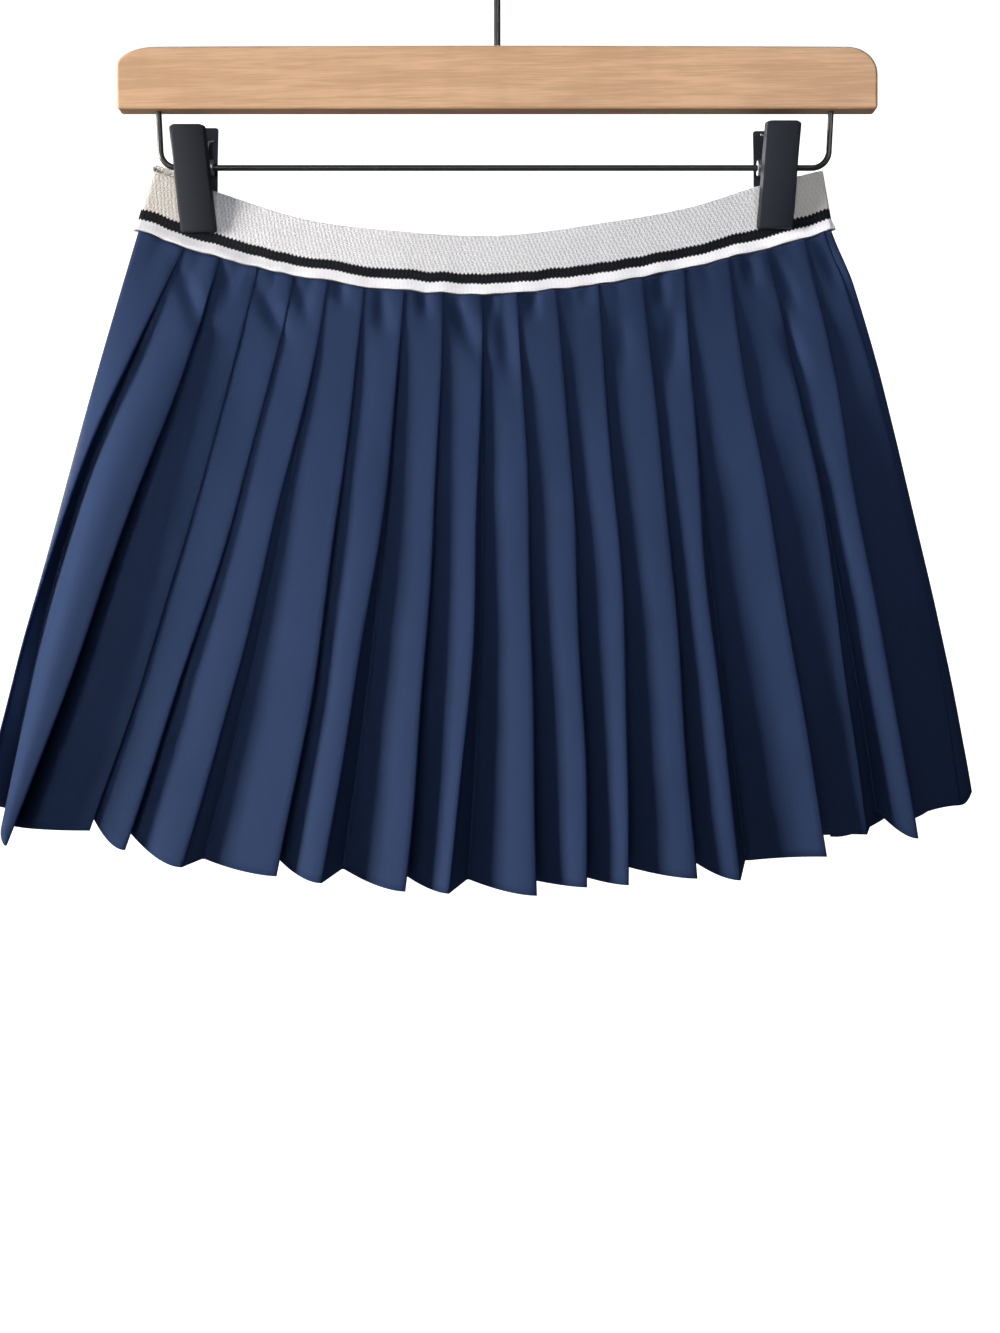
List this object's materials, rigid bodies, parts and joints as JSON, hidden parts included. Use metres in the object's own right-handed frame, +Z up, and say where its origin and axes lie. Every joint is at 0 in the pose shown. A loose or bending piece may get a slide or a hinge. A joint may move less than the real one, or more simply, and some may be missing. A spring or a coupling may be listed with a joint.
{
  "type": "pleated tennis skort on a clip hanger",
  "caption": "Knife-pleated tennis skort with built-in shorts, hung by its elastic waistband from a wooden bar hanger with sliding clips.",
  "frame": {"origin": "the point inside the top of the hook where a rail carries the hanger", "axes": "+Z up, +X to the right of the garment seen from its front, the front of the garment faces -Y"},
  "size_m": [0.489, 0.0891, 0.5035],
  "materials": {
    "bar_wood": "pale wood, clear satin lacquer",
    "black_wire": "satin black",
    "spring_wire": "plain steel wire",
    "clip_plastic": "matte, near black",
    "band_elastic": "ribbed knitted elastic, off-white with a dark stripe",
    "navy_cloth": "fine plain weave, navy, slight sheen",
    "shorts_knit": "smooth stretch knit, navy"
  },
  "bodies": {
    "root": {"hanger_bar": "bar_wood", "hook": "black_wire", "wire_rail": "black_wire", "clip_left_front_jaw": "clip_plastic", "clip_left_back_jaw": "clip_plastic", "clip_left_spring": "spring_wire", "clip_right_front_jaw": "clip_plastic", "clip_right_back_jaw": "clip_plastic", "clip_right_spring": "spring_wire", "waistband": "band_elastic", "skirt_front": "navy_cloth", "skirt_back": "navy_cloth", "shorts_left": "shorts_knit", "shorts_right": "shorts_knit"}
  },
  "joints": []
}
